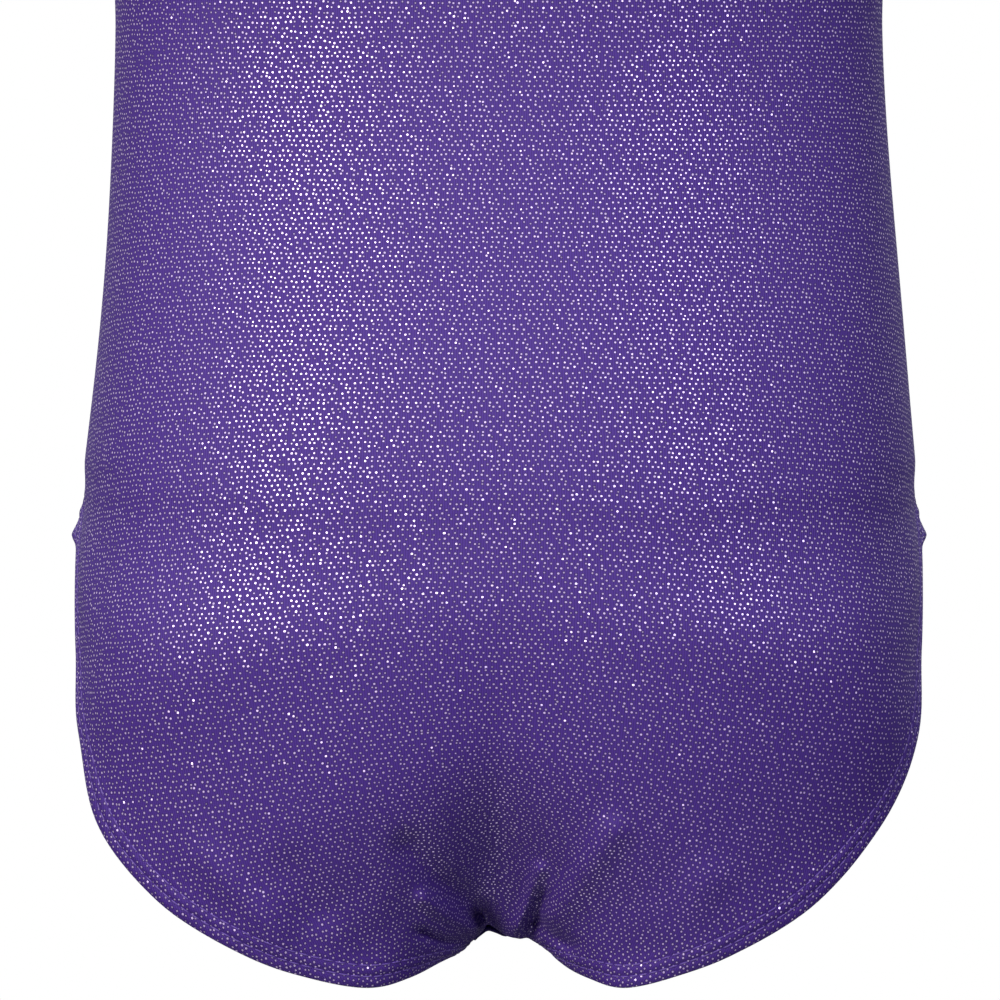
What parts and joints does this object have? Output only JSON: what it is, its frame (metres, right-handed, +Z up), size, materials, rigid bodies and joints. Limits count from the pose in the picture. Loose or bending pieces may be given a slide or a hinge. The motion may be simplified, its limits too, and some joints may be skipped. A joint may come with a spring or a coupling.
{
  "type": "gymnastics leotard",
  "caption": "Child's sleeveless gymnastics leotard in foil-dotted stretch knit, held in body shape, with hemmed neck, armholes and leg openings.",
  "frame": {"origin": "midway between the tops of the two shoulder straps, at the height of their neck side; the garment hangs below it", "axes": "+Z up, +X to the wearer's left, +Y to the wearer's back; the wearer faces -Y"},
  "size_m": [0.246, 0.17, 0.4997],
  "materials": {
    "foil_tricot": "violet stretch tricot with a fine foil dot print, soft sheen",
    "lining": "matt plain knit",
    "elastic": "woven flat elastic",
    "thread": "twisted polyester sewing thread, slight sheen",
    "label": "white satin ribbon, blank"
  },
  "bodies": {
    "root": {"back_panel": "foil_tricot", "front_panel": "foil_tricot", "crotch_lining": "lining", "crotch_seam": "thread", "left_side_seam": "thread", "left_shoulder_seam": "thread", "right_side_seam": "thread", "right_shoulder_seam": "thread", "neck_label": "label", "left_leg_hem": "foil_tricot", "left_leg_elastic": "elastic", "left_leg_stitch_outer": "thread", "left_leg_stitch_inner": "thread", "right_leg_hem": "foil_tricot", "right_leg_elastic": "elastic", "right_leg_stitch_outer": "thread", "right_leg_stitch_inner": "thread", "left_armhole_hem": "foil_tricot", "left_armhole_elastic": "elastic", "left_armhole_stitch_outer": "thread", "left_armhole_stitch_inner": "thread", "right_armhole_hem": "foil_tricot", "right_armhole_elastic": "elastic", "right_armhole_stitch_outer": "thread", "right_armhole_stitch_inner": "thread", "neck_hem": "foil_tricot", "neck_elastic": "elastic", "neck_stitch_outer": "thread", "neck_stitch_inner": "thread"}
  },
  "joints": []
}
